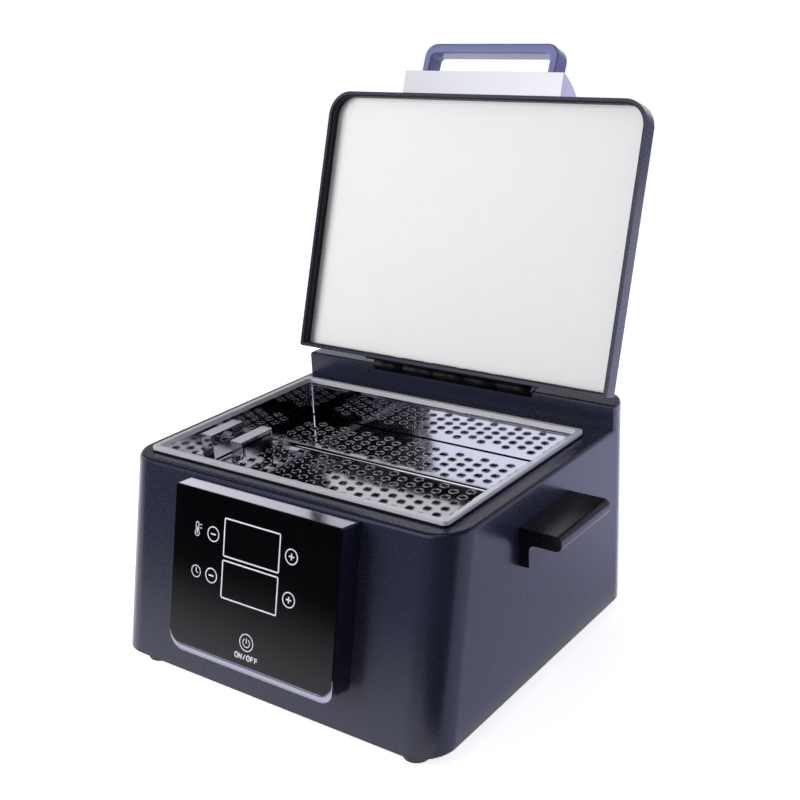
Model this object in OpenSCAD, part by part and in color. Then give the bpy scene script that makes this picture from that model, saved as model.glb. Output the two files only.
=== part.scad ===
// Benchtop dry-heat oven with a hinged lid, a drawn steel tank and a lift-out perforated tray.
// Z is up, the front faces -Y, and the origin is on the bench under the middle of the oven.
// The lid is drawn closed and turned open about its hinge pin, which is its rest position.

/* [Housing] */
// Width of the moulded housing
body_w = 240; // [220:1:300]
// Depth of the housing at its top deck
body_d = 204; // [196:1:260]
// Height from the lower edge to the top deck
body_h = 120; // [105:1:150]
// How far the raked front leans out at the lower edge
front_lean = 25.5; // [10:0.5:32]
// Plan radius of the vertical corners
corner_r = 20.5; // [12:0.5:26]
// Wall of the moulding
wall = 3; // [2.2:0.1:3.6]
// Rounding of the top edges
edge_r = 2.4; // [1:0.1:3]
// Depth of the raised hinge rail at the back
rail_d = 25; // [22:0.5:32]
// Height of the hinge rail above the deck
rail_h = 15; // [13:0.5:18]
// Distance from the housing's middle back to the middle of the whole oven
origin_back = 6.5; // [0:0.5:20]

/* [Underside] */
// Visible height of the rubber feet
foot_h = 10; // [7:0.5:14]
// Diameter of a foot where it meets the base
foot_d = 20; // [16:0.5:24]
// Sideways distance from the housing's side to a foot's centre
foot_inset = 22; // [18:0.5:30]
// Thickness of the base plate
base_t = 2.5; // [2:0.1:3.5]
// Length of a vent slot in the base plate
vent_l = 34; // [20:1:44]

/* [Tank] */
// Deck left between the housing's side and the rim
rim_side = 11.5; // [10.5:0.5:24]
// Deck left between the housing's front edge and the rim
rim_front = 10.5; // [9:0.5:24]
// Distance from the hinge rail to the rim
rim_back = 17; // [15:0.5:24]
// Height of the rolled lip over the deck
rim_h = 3.6; // [3:0.1:5]
// Width of the rim's flat top
rim_face = 3.2; // [3:0.1:5]
// Inside depth of the tank below its rim
tank_depth = 44; // [40:0.5:52]
// Sheet thickness of the tank
tank_t = 1; // [0.8:0.1:1.2]
// Corner radius inside the tank
tank_r = 3.5; // [3:0.5:8]

/* [Tray] */
// Depth of the tray's surface below the rim
tray_drop = 27; // [22:0.5:31]
// Gap between the tray and the tank's wall
tray_gap = 1.5; // [1:0.1:2.5]
// Sheet thickness of the tray
tray_t = 1; // [0.8:0.1:1.2]
// Diameter of a perforation
hole_d = 5; // [3:0.1:5.6]
// Distance between columns of perforations
col_pitch = 9.4; // [8.5:0.1:12]
// Distance between perforations in a column
row_pitch = 9.2; // [8.5:0.1:12]
// Plain border of the tray
tray_margin = 4.5; // [4:0.5:8]
// Distance from the tray's back edge to its pressed bead
bead_back = 50.5; // [40:0.5:70]
// Radius of the pressed bead
bead_r = 2; // [1.5:0.1:2.5]
// Length of a tray handle along the wall
loop_l = 31; // [26:0.5:40]
// Width of the tray handle's strip
loop_w = 9; // [8:0.5:12]
// Height of the tray handle over the tray
loop_h = 13; // [11:0.5:15]
// Thickness of the tray handle's strip
loop_t = 1.5; // [1.2:0.1:2]

/* [Panel] */
// Width of the control pod at its root
pod_w = 124; // [118:1:140]
// Length of the control pod down the raked front
pod_l = 101.6; // [98:0.2:104]
// Depth of the control pod in front of the housing
pod_t = 14; // [12:0.5:18]
// Distance from the deck's edge to the pod
pod_top = 2.4; // [2:0.1:4]
// Draft of the pod's sides over its depth
pod_draft = 1.2; // [0.5:0.1:2]
// Height of the bevel under the panel
bevel_h = 5; // [3:0.2:7]
// Radius of the panel's lower corners
panel_r = 8.5; // [5:0.5:12]
// Thickness of the glossy panel
panel_t = 1; // [0.8:0.1:1.5]
// Width of a display window
window_w = 40.8; // [36:0.2:44]
// Height of a display window
window_h = 22; // [18:0.2:23]
// Distance between the tops of the two displays
window_pitch = 24.4; // [24:0.1:27]
// Distance between a display column's centre and a key's centre
key_x = 28.9; // [27:0.1:34]

/* [Side grips] */
// Length of a side grip
grip_l = 58; // [50:1:80]
// Reach of a side grip out of the wall
grip_reach = 26.3; // [22:0.1:32]
// Height of a side grip over its flange
grip_h = 23.5; // [21:0.5:32]
// Thickness of the grip's plate
grip_t = 9.3; // [7:0.1:11]
// Thickness of the flange against the wall
flange_t = 6; // [5:0.1:8]
// Distance from the deck down to the grip
grip_drop = 18.7; // [15:0.1:26]
// Distance from the housing's middle forward to the grip's middle
grip_forward = 9; // [0:1:20]

/* [Lid] */
// Length of the lid from hinge edge to front edge
lid_l = 178.6; // [170:0.2:180]
// Thickness of the lid
lid_t = 13; // [12:0.5:14]
// Wall of the lid's skirt
lid_wall = 2.2; // [2:0.1:2.6]
// Plan radius of the lid's front corners
lid_r = 16.5; // [10:0.5:24]
// Rounding of the lid's top edge
lid_edge = 3; // [1.5:0.1:3.5]
// Depth of the bright liner inside the skirt
liner_drop = 7.3; // [6.5:0.1:7.6]
// Gap between the closed lid and the deck
lid_gap = 0.5; // [0.4:0.1:1]
// Angle of the lid when it stands open
lid_open = 107.5; // [95:0.5:110]

/* [Lid handle] */
// Width of the bright bracket
bracket_w = 119; // [110:1:140]
// Overhang of the bracket in front of the lid
bracket_over = 14.7; // [10:0.1:18]
// Height of the bracket over the lid's lower edge
bracket_h = 26; // [22:0.5:30]
// Radius of the bracket's bowed front
bracket_bow = 50; // [40:1:80]
// Width over the handle's legs
bar_w = 100.6; // [90:0.2:108]
// Thickness of the handle's band
bar_t = 6.6; // [5.5:0.1:7.5]
// Depth of the handle's band
bar_d = 14; // [11:0.1:15]
// Reach of the handle in front of the bracket
bar_reach = 19.1; // [16:0.1:26]
// Upward tilt of the handle
bar_tilt = 6; // [0:0.5:8]
// Outer corner radius of the handle
bar_r = 9; // [7:0.5:12]

/* [Hinge] */
// Length of the hinge
hinge_l = 124; // [100:1:150]
// Outer radius of the knuckles
knuckle_r = 3.8; // [3.4:0.1:4]
// Diameter of the hinge pin
pin_d = 4; // [3:0.1:4.4]
// Thickness of a hinge leaf
leaf_t = 1.2; // [1:0.1:1.4]
// Number of knuckles
knuckles = 5; // [3:2:7]

/* [Hidden] */

eps = 0.01;
cap_seat = 0.06;
fit = 0.3;
run = 0.05;
$fn = 48;
corner_fn = 64;

// Levels and planes that the pieces share
base_z = foot_h;
deck_z = base_z + body_h;
rail_z = deck_z + rail_h;
back_y = body_d / 2;
front_y = -body_d / 2;
rail_y = back_y - rail_d;
side_x = body_w / 2;
rake = atan(front_lean / body_h);
rim_z = deck_z + rim_h;
rim_w = body_w - 2 * rim_side;
rim_d = rail_y - rim_back - front_y - rim_front;
rim_y = rail_y - rim_back - rim_d / 2;
tank_w = rim_w - 2 * rim_face;
tank_d = rim_d - 2 * rim_face;
tank_floor = rim_z - tank_depth;
plate_z = base_z + 1;
plate_top = plate_z + base_t;
foot_x = side_x - foot_inset;
foot_front = front_y - 10;
foot_back = back_y - foot_inset;

// A flat outline with its own radius at the front and at the back corners
module outline(w, y0, y1, rf, rb) intersection() {
  translate([-w / 2, y0]) square([w, y1 - y0]);
  union() {
    for (s = [-1, 1]) {
      translate([s * (w / 2 - rf), y0 + rf]) circle(rf, $fn = corner_fn);
      translate([s * (w / 2 - rb), y1 - rb]) circle(rb, $fn = corner_fn);
    }
    translate([-w / 2 + rf, y0]) square([w - 2 * rf, y1 - y0 - rb]);
    translate([-w / 2 + rb, y0 + rf]) square([w - 2 * rb, y1 - y0 - rf]);
    translate([-w / 2, y0 + rf]) square([w, y1 - y0 - rf - rb]);
  }
}

module plate(w, y0, y1, rf, rb, z, t)
  translate([0, 0, z]) linear_extrude(t) outline(w, y0, y1, rf, rb);

module ring(w, y0, y1, r, t, z, h)
  translate([0, 0, z]) linear_extrude(h) difference() {
    outline(w, y0, y1, r, r);
    outline(w - 2 * t, y0 + t, y1 - t, max(r - t, 0.5), max(r - t, 0.5));
  }

// Front face of the housing at a height over its lower edge
function front_at(h) = front_y - front_lean * (1 - h / body_h);

// Upright prism of the plan cut by a prism that leans with the front, set in by inset
module skin(inset, z0, z1) intersection() {
  plate(body_w - 2 * inset, 2 * front_y, back_y - inset, 1, corner_r - inset, z0, z1 - z0);
  translate([0, front_y, deck_z]) rotate([-rake, 0, 0])
    plate(body_w - 2 * inset, inset, 2 * body_d, corner_r - inset, 1,
          -2 * body_h, 3 * body_h);
}

// Rounded top edge of a block, seated just inside the walls below it
module cap(w, y0, y1, rf, rb, z, edge) hull()
  for (t = [0:30:90]) {
    i = cap_seat + edge * (1 - cos(t));
    plate(w - 2 * i, y0 + i, y1 - i, max(rf - i, 1), rb - i,
          z - edge * (1 - sin(t)) - 0.3 + 0.1 * cos(t), 0.3);
  }

// Moves a piece drawn about the housing's middle to the middle of the whole oven
module placed() translate([0, -origin_back, 0]) children();

// Places children in the plane of the raked front: X across, Y up the face, Z outwards
module on_front() translate([0, front_y, deck_z]) rotate([90 - rake, 0, 0]) children();

pod_bolt_x = pod_w / 2 - 12;
pod_bolts = [for (x = [-pod_bolt_x, pod_bolt_x], y = [-16, -pod_l + 18]) [x, y]];
grip_y0 = -grip_forward - grip_l / 2;
grip_z = deck_z - grip_drop;
grip_bolts = [for (y = [grip_l * 0.25, grip_l * 0.75]) [grip_y0 + y, grip_z - grip_t / 2]];
boss_x = side_x - wall - 5;
boss_d = 11;
bosses = [for (x = [-boss_x, boss_x], y = [front_y - front_lean / 2 + 22, 0, back_y - 30]) [x, y]];
inlet_x = 58 - side_x;
inlet_z = base_z + 30;
inlet_w = 27.4;
inlet_h = 20;
inlet_bolt = 20;
inlet_flange = 3;
vent_x = 46;
hinge_y = rail_y + 2;
hinge_z = rail_z;
leaf_d = 13;
leaf_z = rail_z - leaf_t;
leaf_y = hinge_y + knuckle_r + 0.4;
trough_z = hinge_z - knuckle_r - 0.4;
hinge_bolts = [for (x = [-0.42, -0.2, 0.2, 0.42]) x * hinge_l];
bolt_d = 3;

rail_edge = 1.6;
rail_in = hinge_y + knuckle_r + wall;

// Space inside the hinge rail, clear of the hinge's trough and of its leaf
module rail_core() {
  translate([-side_x + 16, rail_in, deck_z - wall - 1])
    cube([body_w - 32, back_y - wall - rail_in, leaf_z - deck_z + 1]);
  translate([-side_x + 16, rail_y + wall, deck_z - wall - 1])
    cube([body_w - 32, rail_in - rail_y - wall + eps, trough_z - deck_z + 1]);
}

module housing() color("#3b3d50") difference() {
  union() {
    difference() {
      union() {
        skin(0, base_z, deck_z - edge_r);
        cap(body_w, front_at(body_h - edge_r), back_y, corner_r / cos(rake), corner_r, deck_z, edge_r);
        plate(body_w, rail_y, back_y, 3, corner_r, deck_z - edge_r - 1, rail_h + edge_r + 1 - rail_edge);
        cap(body_w, rail_y, back_y, 3, corner_r, rail_z, rail_edge);
      }
      skin(wall, base_z - 1, deck_z - wall);
      rail_core();
    }
    for (b = bosses) translate([b[0], b[1], plate_top]) cylinder(d = boss_d, h = 26);
    for (x = hinge_bolts) translate([x, leaf_y + leaf_d / 2, leaf_z - 11]) cylinder(d = 7, h = 11);
    for (m = [0, 1], y = [-60, 45]) mirror([m, 0, 0])
      translate([side_x - wall - 3, y - 1, plate_top]) cube([4, 2, 70]);
  }
  // opening for the tank
  plate(tank_w + 2 * tank_t + 1, rim_y - tank_d / 2 - tank_t - 0.5,
        rim_y + tank_d / 2 + tank_t + 0.5, tank_r + tank_t, tank_r + tank_t,
        deck_z - wall - 2, wall + 4);
  // screw holes of the base bosses
  for (b = bosses) translate([b[0], b[1], plate_top - 1]) cylinder(d = bolt_d, h = 16);
  // cable window and screw holes behind the control pod
  on_front() {
    translate([-20, -60, -wall - 4]) cube([40, 30, wall + 6]);
    for (p = pod_bolts) translate([p[0], p[1], -wall - 4]) cylinder(d = bolt_d + 0.4, h = wall + 6);
  }
  // screw holes of the side grips
  for (s = [-1, 1], b = grip_bolts)
    translate([s * (side_x - wall / 2), b[0], b[1]]) rotate([0, 90, 0])
      cylinder(d = bolt_d + 0.4, h = wall + 4, center = true);
  // inlet cut-out and its screw holes
  translate([inlet_x - inlet_w / 2 - 0.3, back_y - wall - 2, inlet_z - inlet_h / 2 - 0.3])
    cube([inlet_w + 0.6, wall + 4, inlet_h + 0.6]);
  for (s = [-1, 1]) translate([inlet_x + s * inlet_bolt, back_y + 1, inlet_z])
    rotate([90, 0, 0]) cylinder(d = bolt_d, h = wall + 2);
  // exhaust slots low in the back wall
  for (i = [0:6]) translate([20 + 9 * i, back_y - wall - 2, base_z + 20])
    cube([3, wall + 4, 22]);
  // trough for the knuckles, seat of the hinge's leaf and its screw holes
  translate([-hinge_l / 2 - 0.4, rail_y - 1, trough_z])
    cube([hinge_l + 0.8, leaf_y - rail_y + 1, rail_h]);
  translate([-hinge_l / 2 - 0.4, leaf_y - eps, leaf_z])
    cube([hinge_l + 0.8, leaf_d + 0.4, rail_h]);
  for (x = hinge_bolts) translate([x, leaf_y + leaf_d / 2, leaf_z - 9]) cylinder(d = bolt_d, h = 12);
}

module base_plate() color("#2c2d33") difference() {
  plate(body_w - 2 * wall - 1, front_at(0) + wall + 1.5, back_y - wall - 0.5, corner_r - wall,
        corner_r - wall, plate_z, base_t);
  for (b = bosses) translate([b[0], b[1], plate_z - 1]) cylinder(d = bolt_d + 0.4, h = base_t + 2);
  for (x = [-foot_x, foot_x], y = [foot_front, foot_back])
    translate([x, y, plate_z - 1]) cylinder(d = bolt_d, h = base_t + 2);
  for (s = [-1, 1], i = [-3:3])
    translate([s * vent_x - vent_l / 2, i * 10 - 1.75, plate_z - 1]) cube([vent_l, 3.5, base_t + 2]);
}

// Pan-head screw along +Z: the head sits below z = 0 and the shank above
module screw(l, head = 6, d = bolt_d) {
  translate([0, 0, -2]) cylinder(d = head, h = 2);
  cylinder(d = d, h = l);
}

module base_screws() color("#9a9ca3")
  for (b = bosses) translate([b[0], b[1], plate_z]) screw(14);

module rubber_feet() color("#141416")
  for (x = [-foot_x, foot_x], y = [foot_front, foot_back]) translate([x, y, 0]) difference() {
    rotate_extrude($fn = corner_fn) polygon([[0, 0], [foot_d * 0.29, 0], [foot_d * 0.38, 0.8],
      [foot_d * 0.45, plate_z * 0.4], [foot_d / 2, plate_z - 1.5], [foot_d / 2, plate_z],
      [0, plate_z]]);
    translate([0, 0, -1]) cylinder(d = 7, h = 6);
    translate([0, 0, 4]) cylinder(d = bolt_d + 0.4, h = plate_z);
  }

module foot_screws() color("#9a9ca3")
  for (x = [-foot_x, foot_x], y = [foot_front, foot_back]) translate([x, y, 5])
    screw(plate_top - 5 + 2, head = 5.6);

seal_t = 1;

// Gasket under the rolled lip, with a rib that fills the lip
module rim_seal() color("#0d0d10") {
  ring(rim_w + 0.8, rim_y - rim_d / 2 - 0.4, rim_y + rim_d / 2 + 0.4, 3.4,
       rim_face - tank_t + 0.4, deck_z, seal_t);
  ring(rim_w - 2 * tank_t - 0.4, rim_y - rim_d / 2 + tank_t + 0.2,
       rim_y + rim_d / 2 - tank_t - 0.2, 2.8, rim_face - 2 * tank_t - 0.4, deck_z + seal_t,
       rim_h - tank_t - seal_t);
}

// Drawn tank: rolled lip, flat rim, walls and floor
module tank() color("#d6d4dc") difference() {
  union() {
    plate(rim_w, rim_y - rim_d / 2, rim_y + rim_d / 2, 3, 3, rim_z - tank_t, tank_t);
    ring(rim_w, rim_y - rim_d / 2, rim_y + rim_d / 2, 3, tank_t, deck_z + seal_t, rim_h - seal_t);
    plate(tank_w + 2 * tank_t, rim_y - tank_d / 2 - tank_t, rim_y + tank_d / 2 + tank_t,
          tank_r + tank_t, tank_r + tank_t, tank_floor - tank_t, tank_depth + tank_t);
  }
  plate(tank_w, rim_y - tank_d / 2, rim_y + tank_d / 2, tank_r, tank_r, tank_floor,
        tank_depth + 1);
}

// Four angle clips that hold the tank's wall under the deck
module tank_brackets() color("#b4b4ba")
  for (s = [-1, 1], y = [-40, 40]) translate([0, rim_y + y, 0]) {
    x0 = tank_w / 2 + tank_t + run;
    mirror([s < 0 ? 1 : 0, 0, 0]) translate([x0, -6, deck_z - wall - 12]) difference() {
      union() {
        cube([1.2, 12, 12]);
        translate([0, 0, 10.8]) cube([9, 12, 1.2]);
      }
      translate([6, 6, 5]) cylinder(d = 2.4, h = 10);
    }
  }

heater_t = 4;
heater_z = tank_floor - tank_t - heater_t;

module heater_plate() color("#c2b9a8") difference() {
  union() {
    plate(tank_w - 26, rim_y - tank_d / 2 + 12, rim_y + tank_d / 2 - 12, 8, 8, heater_z, heater_t);
    for (i = [-1, 1]) translate([i * 14 - 3, rim_y - tank_d / 2 + 2, heater_z]) cube([6, 12, 1.2]);
  }
  for (i = [-1, 1]) translate([i * 14, rim_y - tank_d / 2 + 6, heater_z - 1]) cylinder(d = 3.2, h = 4);
}

wrap_t = 7;
cut_y = rim_y + tank_d / 2 + tank_t;

module insulation_wrap() color("#e9e4d6") difference() {
  ring(tank_w + 2 * tank_t + 2 * wrap_t, rim_y - tank_d / 2 - tank_t - wrap_t,
       rim_y + tank_d / 2 + tank_t + wrap_t, tank_r + tank_t + wrap_t, wrap_t - run,
       tank_floor + 2, deck_z - wall - tank_floor - 4);
  for (s = [-1, 1], y = [-40, 40]) translate([s * (tank_w / 2 + 5), rim_y + y, deck_z - wall])
    cube([22, 14, 26], center = true);
  translate([0, cut_y, tank_floor + 18]) cube([92, 30, 22], center = true);
}

mat_t = 16;
mat_z = heater_z - mat_t;

module insulation_mat() color("#e9e4d6")
  plate(tank_w, rim_y - tank_d / 2, rim_y + tank_d / 2, 6, 6, mat_z, mat_t);

shield_t = 1;
shield_z = mat_z - shield_t;

// Folded sheet with four legs down to the base plate
module heat_shield() color("#a9abb0") {
  plate(tank_w, rim_y - tank_d / 2, rim_y + tank_d / 2, 2, 2, shield_z, shield_t);
  for (s = [-1, 1], y = [-tank_d / 2 + 18, tank_d / 2 - 18]) translate([0, rim_y + y - 8, 0]) {
    mirror([s < 0 ? 1 : 0, 0, 0]) translate([tank_w / 2 - 3, 0, plate_top])
      cube([shield_t, 16, shield_z - plate_top]);
    mirror([s < 0 ? 1 : 0, 0, 0]) translate([tank_w / 2 - 14, 0, plate_top])
      cube([12, 16, shield_t]);
  }
}

module thermal_cutout() color("#c9c4ba") translate([26, cut_y, tank_floor + 18]) rotate([-90, 0, 0]) {
  cylinder(d = 16, h = 5);
  translate([0, 0, 5]) cylinder(d = 11, h = 5);
  for (s = [-1, 1]) translate([s * 3 - 0.4, -3, 10]) cube([0.8, 6, 6]);
}

module temperature_probe() color("#c98f5a") translate([-26, cut_y, tank_floor + 18]) {
  rotate([-90, 0, 0]) cylinder(d = 10, h = 2);
  translate([0, 2, 0]) rotate([-90, 0, 0]) cylinder(d = 5, h = 7);
}

board_z = plate_top + 8;
board_x = -58;
board_y = 6;
board_w = 84;
board_d = 112;

module power_board() color("#2f5a3a") difference() {
  translate([board_x - board_w / 2, board_y - board_d / 2, board_z]) cube([board_w, board_d, 1.6]);
  for (x = [-1, 1], y = [-1, 1])
    translate([board_x + x * (board_w / 2 - 5), board_y + y * (board_d / 2 - 5), board_z - 1])
      cylinder(d = bolt_d + 0.4, h = 4);
}

module board_standoffs() color("#c8b273")
  for (x = [-1, 1], y = [-1, 1])
    translate([board_x + x * (board_w / 2 - 5), board_y + y * (board_d / 2 - 5), plate_top]) {
      cylinder(d = 6, h = board_z - plate_top, $fn = 6);
      cylinder(d = bolt_d, h = board_z - plate_top + 4);
    }

board_top = board_z + 1.6;

module transformer() color("#b58a3c") translate([board_x - 22, board_y + 14, board_top]) {
  translate([-14, -16, 0]) cube([28, 32, 20]);
  for (s = [-1, 1]) translate([-10, s * 16 - (s < 0 ? 4 : 0), 3]) cube([20, 4, 14]);
}

module heatsink() color("#8d9097") translate([board_x + 22, board_y + 10, board_top]) {
  translate([-12, -20, 0]) cube([3, 40, 24]);
  for (i = [0:5]) translate([-9, -19 + 7.2 * i, 0]) cube([14, 1.6, 24]);
}

module relay() color("#26334f") translate([board_x + 12, board_y - 38, board_top])
  cube([15.5, 19, 15.5]);

module terminal_block() color("#3d7a4a") translate([board_x - 34, board_y + 42, board_top]) difference() {
  cube([50, 12, 12]);
  for (i = [0:4]) translate([5 + 10 * i, 5, 6]) cylinder(d = 4, h = 8);
  for (i = [0:4]) translate([2.6 + 10 * i, 9, 2]) cube([4.8, 4, 5]);
}

// Recessed three-pin appliance inlet, screwed to the back wall
module power_inlet() color("#17171a") difference() {
  translate([inlet_x, back_y, inlet_z]) difference() {
    union() {
      translate([-25, 0, -11.5]) cube([50, inlet_flange, 23]);
      translate([-inlet_w / 2, -22, -inlet_h / 2]) cube([inlet_w, 22 + eps, inlet_h]);
    }
    translate([-11.8, -16, -7.8]) cube([23.6, 16 + inlet_flange + 1, 15.6]);
    for (s = [-1, 1]) translate([s * inlet_bolt, 5, 0]) rotate([90, 0, 0])
      cylinder(d = bolt_d + 0.4, h = 8);
  }
  blades();
}

// Line, neutral and earth blades of the inlet
module blades() for (p = [[-7, -2], [0, 2], [7, -2]])
  translate([inlet_x + p[0] - 1, back_y - 26, inlet_z + p[1] - 2]) cube([2, 24, 4]);

module inlet_pins() color("#c9cad0") blades();

module inlet_screws() color("#9a9ca3")
  for (s = [-1, 1]) translate([inlet_x + s * inlet_bolt, back_y + inlet_flange, inlet_z])
    rotate([90, 0, 0]) screw(inlet_flange + wall + 2, head = 5.6);

panel_z = pod_t;
panel_y0 = -pod_top - 1.6;
panel_w = pod_w - 2 * pod_draft;
panel_l = pod_l - bevel_h - 2.1;
window_y = panel_y0 - 12.4;
key_y = [window_y - window_h / 2, window_y - window_pitch - window_h / 2];
power_key_y = panel_y0 - 80.3;
pcb_z = 3;
pcb_t = 1.6;
pcb_w = pod_w - 36;
board_front = pcb_z + pcb_t;
board_bolts = [for (x = [5 - pcb_w / 2, pcb_w / 2 - 5], y = [window_y - 1, power_key_y - 2]) [x, y]];

module pod_slice(w, top, len, r, z)
  translate([0, 0, z]) linear_extrude(eps) outline(w, -top - len, -top, r, 1.2);

module control_pod() color("#45475c") on_front() difference() {
  hull() {
    pod_slice(pod_w, pod_top, pod_l, panel_r + 2, 0);
    pod_slice(pod_w - 1.6 * pod_draft, pod_top + 1.1, pod_l - 1.8, panel_r + 1, pod_t * 0.64);
    pod_slice(panel_w, -panel_y0, panel_l, panel_r, pod_t - eps);
  }
  difference() {
    translate([-pod_w / 2 + 4, -pod_l + 6, -1]) cube([pod_w - 8, pod_l - 12, pod_t - 1]);
    for (p = pod_bolts) translate([p[0], p[1], -2]) cylinder(d = 8, h = pod_t + 2);
    for (p = board_bolts) translate([p[0], p[1], board_front]) cylinder(d = 5.4, h = pod_t);
  }
  for (p = board_bolts) translate([p[0], p[1], board_front - 1]) cylinder(d = 2.2, h = 6);
  for (p = pod_bolts) translate([p[0], p[1], -1]) cylinder(d = bolt_d, h = pod_t - 2);
  for (i = [0, 1]) translate([-window_w / 2, window_y - window_h - i * window_pitch, pod_t - 3])
    cube([window_w, window_h, 4]);
  for (s = [-1, 1], y = key_y) translate([s * key_x, y, pod_t - 3]) cylinder(d = 8, h = 4);
  translate([0, power_key_y, pod_t - 3]) cylinder(d = 8, h = 4);
}

module control_panel() color("#0a0a0d") on_front()
  translate([0, 0, pod_t]) linear_extrude(panel_t)
    outline(panel_w, panel_y0 - panel_l, panel_y0, panel_r, 1.2);

module control_board() color("#2f5a3a") on_front() difference() {
  translate([-pcb_w / 2, power_key_y - 7, pcb_z]) cube([pcb_w, window_y - power_key_y + 12, pcb_t]);
  for (p = board_bolts) translate([p[0], p[1], pcb_z - 1]) cylinder(d = 2.6, h = pcb_t + 2);
}

module board_screws() color("#9a9ca3") on_front()
  for (p = board_bolts) translate([p[0], p[1], pcb_z]) screw(pcb_t + 4, head = 4.6, d = 2.2);

display_gap = 0.4;

module display(i) on_front()
  translate([-window_w / 2 + display_gap, window_y - window_h - i * window_pitch + display_gap,
             board_front])
    cube([window_w - 2 * display_gap, window_h - 2 * display_gap, pod_t - board_front]);

module temperature_display() color("#101014") display(0);

module timer_display() color("#101014") display(1);

// Coil springs under the touch keys, drawn as their outer shape
module touch_springs() color("#c9a35a") on_front() {
  for (s = [-1, 1], y = key_y) translate([s * key_x, y, board_front])
    cylinder(d = 6, h = pod_t - board_front);
  translate([0, power_key_y, board_front]) cylinder(d = 6, h = pod_t - board_front);
}

module pod_screws() color("#9a9ca3") on_front()
  for (p = pod_bolts) translate([p[0], p[1], -wall]) screw(wall + 8);

// Moulded L-section grip: flange on the wall, plate standing out of it
module side_grip() {
  r = 4;
  translate([side_x, grip_y0 + grip_l, grip_z - grip_h]) rotate([90, 0, 0]) difference() {
    linear_extrude(grip_l) difference() {
      union() {
        square([flange_t, grip_h]);
        translate([0, grip_h - grip_t]) square([grip_reach - r, grip_t]);
        translate([0, grip_h - grip_t + r]) square([grip_reach, grip_t - 2 * r]);
        for (y = [grip_h - r, grip_h - grip_t + r]) translate([grip_reach - r, y]) circle(r);
        translate([flange_t, grip_h - grip_t - r]) square(r);
      }
      translate([flange_t + r, grip_h - grip_t - r]) circle(r);
    }
    for (b = grip_bolts) translate([-1, b[1] - grip_z + grip_h, grip_y0 + grip_l - b[0]])
      rotate([0, 90, 0]) cylinder(d = bolt_d, h = 14);
  }
}

module side_grip_right() color("#141419") side_grip();

module side_grip_left() color("#141419") mirror([1, 0, 0]) side_grip();

module grip_screws() color("#9a9ca3")
  for (s = [-1, 1], b = grip_bolts) translate([s * (side_x - wall), b[0], b[1]])
    rotate([0, s * 90, 0]) screw(wall + 11);

seg = hinge_l / knuckles;
seg_gap = 0.25;

module knuckle(i) translate([-hinge_l / 2 + i * seg + seg_gap, hinge_y, hinge_z])
  rotate([0, 90, 0]) cylinder(r = knuckle_r, h = seg - 2 * seg_gap);

module pin_bore(clearance) translate([-hinge_l / 2 - 1, hinge_y, hinge_z]) rotate([0, 90, 0])
  cylinder(d = pin_d + 2 * clearance, h = hinge_l + 2);

module hinge_body_leaf() color("#17181c") difference() {
  union() {
    translate([-hinge_l / 2, leaf_y, leaf_z]) cube([hinge_l, leaf_d, leaf_t]);
    for (i = [0:2:knuckles - 1]) {
      knuckle(i);
      translate([-hinge_l / 2 + i * seg + seg_gap, hinge_y, leaf_z])
        cube([seg - 2 * seg_gap, leaf_y - hinge_y + 1, leaf_t]);
    }
  }
  pin_bore(0);
  for (x = hinge_bolts) translate([x, leaf_y + leaf_d / 2, leaf_z - 1])
    cylinder(d = bolt_d, h = leaf_t + 2);
}

module hinge_pin() color("#b9bac0")
  translate([-hinge_l / 2, hinge_y, hinge_z]) rotate([0, 90, 0]) cylinder(d = pin_d, h = hinge_l);

module hinge_screws() color("#17181c")
  for (x = hinge_bolts) translate([x, leaf_y + leaf_d / 2, rail_z]) rotate([180, 0, 0])
    screw(leaf_t + 7, head = 5.6);

// Everything on the lid is drawn closed, then turned open about the hinge pin
module opened() translate([0, hinge_y, hinge_z]) rotate([-lid_open, 0, 0])
  translate([0, -hinge_y, -hinge_z]) children();

lid_z = deck_z + lid_gap;
lid_back = hinge_y - knuckle_r - 0.2;
lid_front = lid_back - lid_l;
lid_top = lid_z + lid_t;
rivet_z = lid_z + 4;
rivets = [for (x = [-0.3, -0.1, 0.1, 0.3]) x * hinge_l];

module hinge_lid_leaf() color("#17181c") opened() difference() {
  union() {
    translate([-hinge_l / 2, lid_back, lid_z + 1]) cube([hinge_l, leaf_t, trough_z - lid_z - 1]);
    for (i = [1:2:knuckles - 1]) {
      knuckle(i);
      translate([-hinge_l / 2 + i * seg + seg_gap, lid_back, trough_z - 1])
        cube([seg - 2 * seg_gap, leaf_t, hinge_z - trough_z + 1]);
    }
  }
  pin_bore(run);
  for (x = rivets) translate([x, lid_back - 1, rivet_z]) rotate([-90, 0, 0])
    cylinder(d = bolt_d, h = 4);
}

module hinge_rivets() color("#b9bac0") opened()
  for (x = rivets) translate([x, lid_back + leaf_t, rivet_z]) rotate([90, 0, 0]) {
    cylinder(d = bolt_d, h = leaf_t + lid_wall);
    translate([0, 0, leaf_t + lid_wall]) cylinder(d = 5, h = 0.8);
  }

module lid_level(inset, z, t)
  plate(body_w - 2 * inset, lid_front + inset, lid_back - inset, lid_r - inset,
        max(2 - inset * 0.4, 0.8), z, t);

module lid_shell() color("#3f4054") opened() difference() {
  hull() {
    lid_level(0, lid_z, lid_t - lid_edge);
    lid_level(lid_edge * 0.134, lid_top - lid_edge * 0.5, eps);
    lid_level(lid_edge * 0.5, lid_top - lid_edge * 0.134, eps);
    lid_level(lid_edge, lid_top - eps, eps);
  }
  lid_level(lid_wall, lid_z - 1, lid_t + 1 - 2.4);
  for (x = rivets) translate([x, lid_back + 1, rivet_z]) rotate([90, 0, 0])
    cylinder(d = bolt_d, h = 6);
  for (b = bracket_bolts) translate([b[0], b[1], lid_top - 4]) cylinder(d = bolt_d + 0.4, h = 6);
}

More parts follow.
